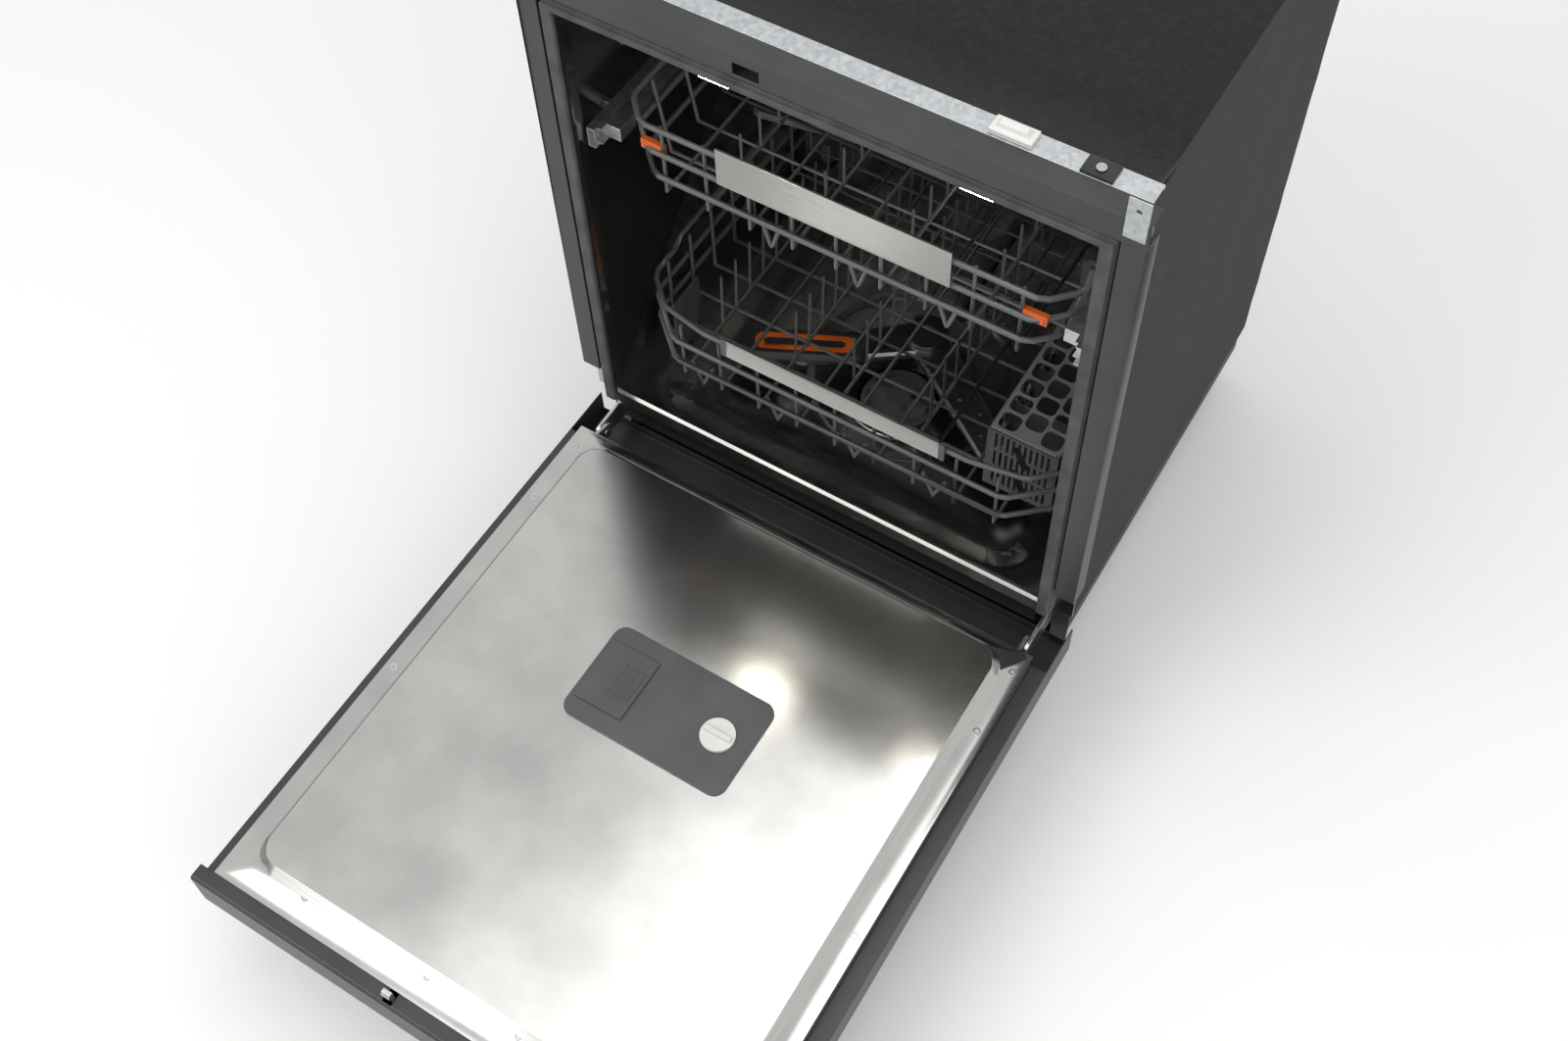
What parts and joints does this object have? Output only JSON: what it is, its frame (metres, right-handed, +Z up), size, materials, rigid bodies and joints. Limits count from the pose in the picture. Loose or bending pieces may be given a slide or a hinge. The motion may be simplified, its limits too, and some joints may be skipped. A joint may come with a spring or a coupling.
{
  "type": "dishwasher",
  "caption": "Built-in dishwasher with its door open: steel tub, dark frame, felt jacket, two wire racks on slides, cutlery basket, spray arms and levelling feet.",
  "frame": {"origin": "centre of the bounding box on the floor, under the feet", "axes": "+Z up, +X to the right seen from the front, -Y out of the mouth to the front, +Y to the back"},
  "size_m": [0.598, 1.2095, 0.84],
  "materials": {
    "polished_steel": "polished stainless sheet",
    "frame_grey": "dark grey enamel, satin",
    "galvanised": "galvanised sheet, spangled",
    "felt": "black insulating felt",
    "base_black": "black moulded plastic",
    "seal_grey": "grey rubber seal",
    "wire_grey": "grey nylon coat over wire",
    "moulded_grey": "grey moulded plastic",
    "dark_plastic": "dark grey moulded plastic",
    "pale_plastic": "pale dispenser plastic",
    "orange_plastic": "orange insert",
    "handle_steel": "brushed stainless strip",
    "lamp": "emissive lamp lens",
    "zinc": "zinc plated steel"
  },
  "bodies": {
    "machine": {"base_tray": "base_black", "side_plates": "frame_grey", "tub_floor": "polished_steel", "tub_wrap": "polished_steel", "tub_back": "polished_steel", "tub_lamps": "lamp", "front_frame": "frame_grey", "door_gasket": "seal_grey", "top_crossbar": "galvanised", "worktop_brackets": "galvanised", "felt_blankets": "felt", "kick_plate": "base_black", "hinge_brackets": "zinc", "sump": "dark_plastic", "circulation_pump": "dark_plastic", "drain_pump": "dark_plastic", "filter_plate": "polished_steel", "feed_pipe": "moulded_grey", "fixed_rails": "zinc"},
    "door": {"door_outer_panel": "frame_grey", "door_liner": "polished_steel", "door_console": "dark_plastic", "dispenser_body": "moulded_grey", "hinge_arms": "zinc"},
    "lower_rack": {"lower_rack_rims": "wire_grey", "lower_rack_cross_wires": "wire_grey", "lower_rack_floor_wires": "wire_grey", "lower_rack_handle": "handle_steel", "lower_rack_clips": "moulded_grey"},
    "upper_rack": {"upper_rack_rims": "wire_grey", "upper_rack_wires": "wire_grey", "upper_rack_handle": "handle_steel", "rack_slides": "zinc", "upper_arm_feed": "moulded_grey"},
    "satellite": {"satellite_arm": "dark_plastic", "satellite_insert": "orange_plastic"},
    "foot_left": {"foot_left": "base_black"},
    "foot_right": {"foot_right": "base_black"},
    "foot_rear": {"foot_rear": "base_black"},
    "door_latch": {"door_latch": "zinc"},
    "power_button": {"power_button": "pale_plastic"},
    "start_button": {"start_button": "pale_plastic"},
    "dispenser_lid": {"dispenser_lid": "moulded_grey"},
    "rinse_aid_cap": {"rinse_aid_cap": "pale_plastic"},
    "filter_cup": {"filter_cup": "moulded_grey"},
    "lower_spray_arm": {"lower_spray_arm": "moulded_grey"},
    "upper_spray_arm": {"upper_spray_arm": "moulded_grey"},
    "wheel_left_front": {"wheel_left_front": "moulded_grey"},
    "wheel_left_rear": {"wheel_left_rear": "moulded_grey"},
    "wheel_right_front": {"wheel_right_front": "moulded_grey"},
    "wheel_right_rear": {"wheel_right_rear": "moulded_grey"},
    "folding_tines_left": {"folding_tines_left": "wire_grey"},
    "folding_tines_right": {"folding_tines_right": "wire_grey"},
    "cutlery_basket": {"cutlery_basket": "moulded_grey"},
    "basket_lid_front": {"basket_lid_front": "moulded_grey"},
    "basket_lid_rear": {"basket_lid_rear": "moulded_grey"},
    "middle_rail_left": {"middle_rail_left": "zinc"},
    "middle_rail_right": {"middle_rail_right": "zinc"},
    "cup_shelf_left": {"cup_shelf_left": "moulded_grey"},
    "cup_shelf_right": {"cup_shelf_right": "moulded_grey"}
  },
  "joints": [
    {"name": "door_hinge", "type": "hinge", "parent": "machine", "child": "door", "pos_m": [0, 0.0325, 0.169], "axis": [1, 0, 0], "range_deg": [-90, 0]},
    {"name": "latch_press", "type": "slide", "parent": "door", "child": "door_latch", "axis": [0, 1, 0], "range_m": [0, 0.003], "stiffness_N_per_m": 900},
    {"name": "power_press", "type": "slide", "parent": "door", "child": "power_button", "axis": [0, 1, 0], "range_m": [0, 0.002], "stiffness_N_per_m": 400},
    {"name": "start_press", "type": "slide", "parent": "door", "child": "start_button", "axis": [0, 1, 0], "range_m": [0, 0.002], "stiffness_N_per_m": 400},
    {"name": "dispenser_lid_slide", "type": "slide", "parent": "door", "child": "dispenser_lid", "axis": [1, 0, 0], "range_m": [0, 0.056]},
    {"name": "rinse_cap_turn", "type": "hinge", "parent": "door", "child": "rinse_aid_cap", "pos_m": [0.058, -0.2285, 0.202], "axis": [0, 0, 1], "range_deg": [0, 90]},
    {"name": "filter_turn", "type": "hinge", "parent": "machine", "child": "filter_cup", "pos_m": [0, 0.2325, 0.18], "axis": [0, 0, 1], "range_deg": [0, 60]},
    {"name": "lower_arm_spin", "type": "hinge", "parent": "machine", "child": "lower_spray_arm", "pos_m": [0, 0.2965, 0.22], "axis": [0, 0, 1], "continuous": true},
    {"name": "satellite_spin", "type": "hinge", "parent": "lower_spray_arm", "child": "satellite", "pos_m": [-0.10875, 0.21154, 0.23], "axis": [0, 0, 1], "continuous": true},
    {"name": "lower_rack_slide", "type": "slide", "parent": "machine", "child": "lower_rack", "axis": [0, -1, 0], "range_m": [0, 0.54]},
    {"name": "upper_rack_slide", "type": "slide", "parent": "machine", "child": "upper_rack", "axis": [0, -1, 0], "range_m": [0, 0.47]},
    {"name": "middle_rail_left_slide", "type": "slide", "parent": "machine", "child": "middle_rail_left", "axis": [0, -1, 0], "range_m": [0, 0.24]},
    {"name": "middle_rail_right_slide", "type": "slide", "parent": "machine", "child": "middle_rail_right", "axis": [0, -1, 0], "range_m": [0, 0.24]},
    {"name": "wheel_left_front_roll", "type": "hinge", "parent": "lower_rack", "child": "wheel_left_front", "pos_m": [-0.243, 0.1685, 0.2203], "axis": [1, 0, 0], "range_deg": [0, 1720]},
    {"name": "wheel_left_rear_roll", "type": "hinge", "parent": "lower_rack", "child": "wheel_left_rear", "pos_m": [-0.243, 0.4945, 0.2203], "axis": [1, 0, 0], "range_deg": [0, 1720]},
    {"name": "wheel_right_front_roll", "type": "hinge", "parent": "lower_rack", "child": "wheel_right_front", "pos_m": [0.243, 0.1685, 0.2203], "axis": [1, 0, 0], "range_deg": [0, 1720]},
    {"name": "wheel_right_rear_roll", "type": "hinge", "parent": "lower_rack", "child": "wheel_right_rear", "pos_m": [0.243, 0.4945, 0.2203], "axis": [1, 0, 0], "range_deg": [0, 1720]},
    {"name": "tines_left_fold", "type": "hinge", "parent": "lower_rack", "child": "folding_tines_left", "pos_m": [-0.0235, 0.3365, 0.26622], "axis": [0, 1, 0], "range_deg": [0, 80]},
    {"name": "tines_right_fold", "type": "hinge", "parent": "lower_rack", "child": "folding_tines_right", "pos_m": [0.0705, 0.3365, 0.26622], "axis": [0, 1, 0], "range_deg": [0, 80]},
    {"name": "basket_lift", "type": "slide", "parent": "lower_rack", "child": "cutlery_basket", "axis": [0, 0, 1], "range_m": [0, 0.06]},
    {"name": "basket_lid_front_hinge", "type": "hinge", "parent": "cutlery_basket", "child": "basket_lid_front", "pos_m": [0.2312, 0.2305, 0.36359], "axis": [0, 1, 0], "range_deg": [0, 85]},
    {"name": "basket_lid_rear_hinge", "type": "hinge", "parent": "cutlery_basket", "child": "basket_lid_rear", "pos_m": [0.2312, 0.4565, 0.36359], "axis": [0, 1, 0], "range_deg": [0, 85]},
    {"name": "cup_shelf_right_hinge", "type": "hinge", "parent": "upper_rack", "child": "cup_shelf_right", "pos_m": [0.22728, 0.3185, 0.6393], "axis": [0, 1, 0], "range_deg": [0, 85]},
    {"name": "cup_shelf_left_hinge", "type": "hinge", "parent": "upper_rack", "child": "cup_shelf_left", "pos_m": [-0.22728, 0.3185, 0.6393], "axis": [0, -1, 0], "range_deg": [0, 85]},
    {"name": "upper_arm_spin", "type": "hinge", "parent": "upper_rack", "child": "upper_spray_arm", "pos_m": [0, 0.3115, 0.508], "axis": [0, 0, 1], "continuous": true},
    {"name": "foot_left_turn", "type": "hinge", "parent": "machine", "child": "foot_left", "pos_m": [-0.244, 0.1325, 0.03], "axis": [0, 0, 1], "continuous": true},
    {"name": "foot_right_turn", "type": "hinge", "parent": "machine", "child": "foot_right", "pos_m": [0.244, 0.1325, 0.03], "axis": [0, 0, 1], "continuous": true},
    {"name": "foot_rear_turn", "type": "hinge", "parent": "machine", "child": "foot_rear", "pos_m": [0, 0.5565, 0.03], "axis": [0, 0, 1], "continuous": true}
  ],
  "couplings": [
    {"joint": "middle_rail_left_slide", "follows": "upper_rack_slide", "ratio": 0.5},
    {"joint": "middle_rail_right_slide", "follows": "upper_rack_slide", "ratio": 0.5},
    {"joint": "wheel_left_front_roll", "follows": "lower_rack_slide", "rad_per_m": 55.556},
    {"joint": "wheel_left_rear_roll", "follows": "lower_rack_slide", "rad_per_m": 55.556},
    {"joint": "wheel_right_front_roll", "follows": "lower_rack_slide", "rad_per_m": 55.556},
    {"joint": "wheel_right_rear_roll", "follows": "lower_rack_slide", "rad_per_m": 55.556}
  ]
}
